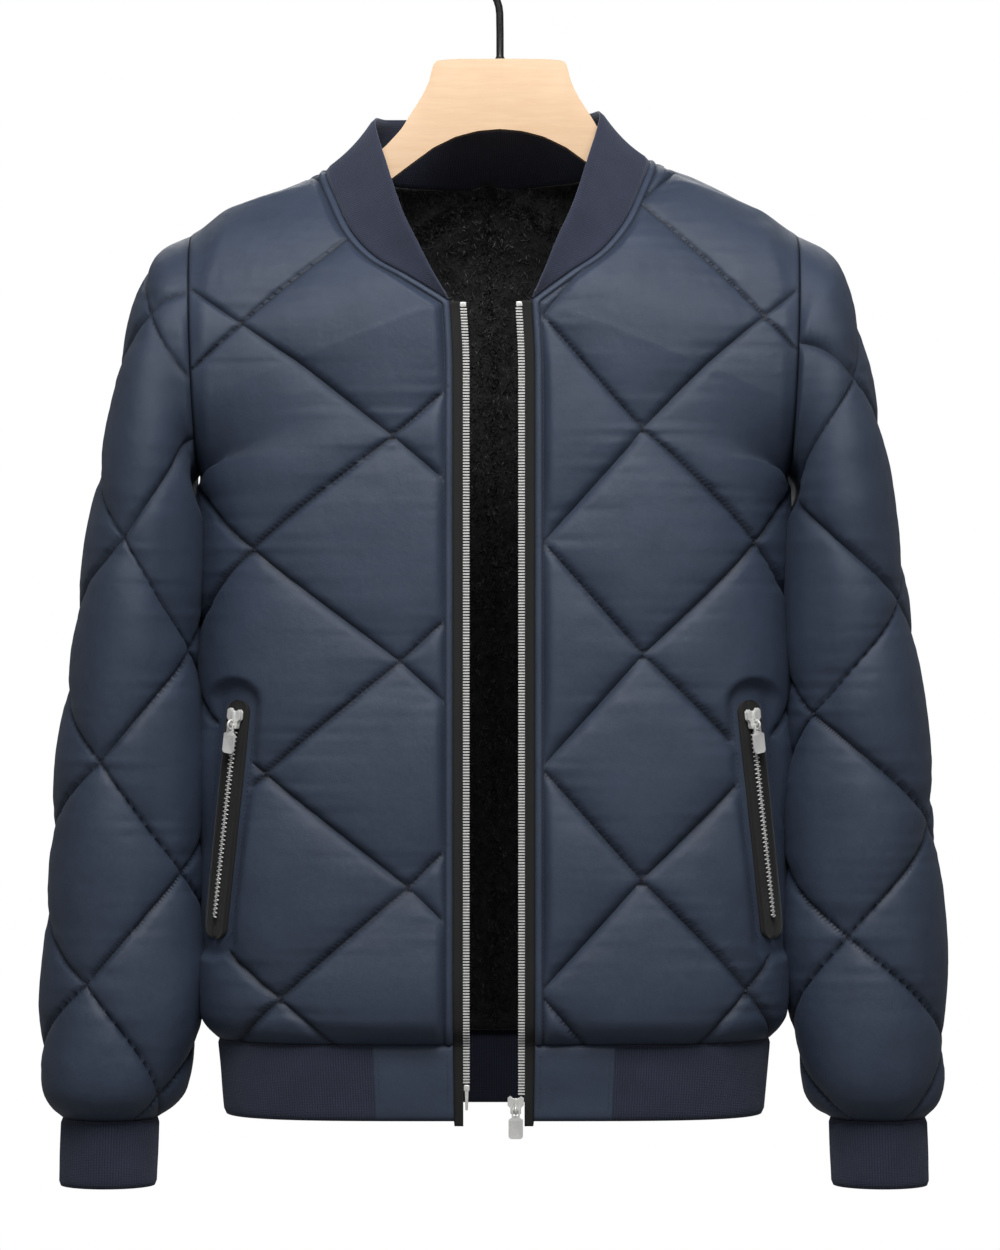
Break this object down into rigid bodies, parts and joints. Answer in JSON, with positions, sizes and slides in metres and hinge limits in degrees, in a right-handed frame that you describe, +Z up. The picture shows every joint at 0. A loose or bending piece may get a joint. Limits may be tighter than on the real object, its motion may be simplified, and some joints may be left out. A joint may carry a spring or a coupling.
{
  "type": "bomber jacket on hanger",
  "caption": "Quilted bomber jacket hanging open on a wooden hanger, with rib-knit collar, cuffs and hem, a front zip and two zipped side pockets.",
  "frame": {"origin": "inside of the hook's crown, where a rail carries the hanger", "axes": "+Z up, -Y out of the jacket's front, +X towards the wearer's left"},
  "size_m": [0.6508, 0.1947, 0.9149],
  "materials": {
    "shell": "navy woven polyester shell, quilted, slight satin sheen",
    "rib": "dark navy rib knit, matte",
    "pile": "black short pile lining",
    "tape": "black woven zip tape",
    "metal": "bright nickel-plated zip metal",
    "wood": "pale smooth lacquered wood",
    "wire": "black coated wire"
  },
  "bodies": {
    "jacket": {"front_right": "shell", "front_left": "shell", "back": "shell", "sleeve_right": "shell", "sleeve_left": "shell", "hem_block_right": "shell", "hem_block_left": "shell", "collar": "rib", "cuff_right": "rib", "cuff_left": "rib", "hem_rib": "rib", "lining_back": "pile", "zip_tape_right": "tape", "zip_tape_left": "tape", "zip_teeth_right": "metal", "zip_teeth_left": "metal", "zip_pin": "metal", "zip_slider": "metal", "pocket_tape_right": "tape", "pocket_tape_left": "tape", "pocket_teeth_right": "metal", "pocket_teeth_left": "metal", "pocket_slider_right": "metal", "pocket_slider_left": "metal", "hanger": "wood", "hook": "wire"},
    "front_tab": {"zip_pull": "metal"},
    "left_pocket_tab": {"pocket_pull_left": "metal"},
    "right_pocket_tab": {"pocket_pull_right": "metal"}
  },
  "joints": [
    {"name": "front_tab_swing", "type": "hinge", "parent": "jacket", "child": "front_tab", "pos_m": [0.0111, -0.07734, -0.8488], "axis": [-1, 0, 0], "range_deg": [0, 150]},
    {"name": "left_pocket_tab_swing", "type": "hinge", "parent": "jacket", "child": "left_pocket_tab", "pos_m": [0.18158, -0.06996, -0.57711], "axis": [-0.7529, -0.6426, -0.1422], "range_deg": [0, 150]},
    {"name": "right_pocket_tab_swing", "type": "hinge", "parent": "jacket", "child": "right_pocket_tab", "pos_m": [-0.19018, -0.06996, -0.57711], "axis": [-0.7529, 0.6426, 0.1422], "range_deg": [0, 150]}
  ]
}
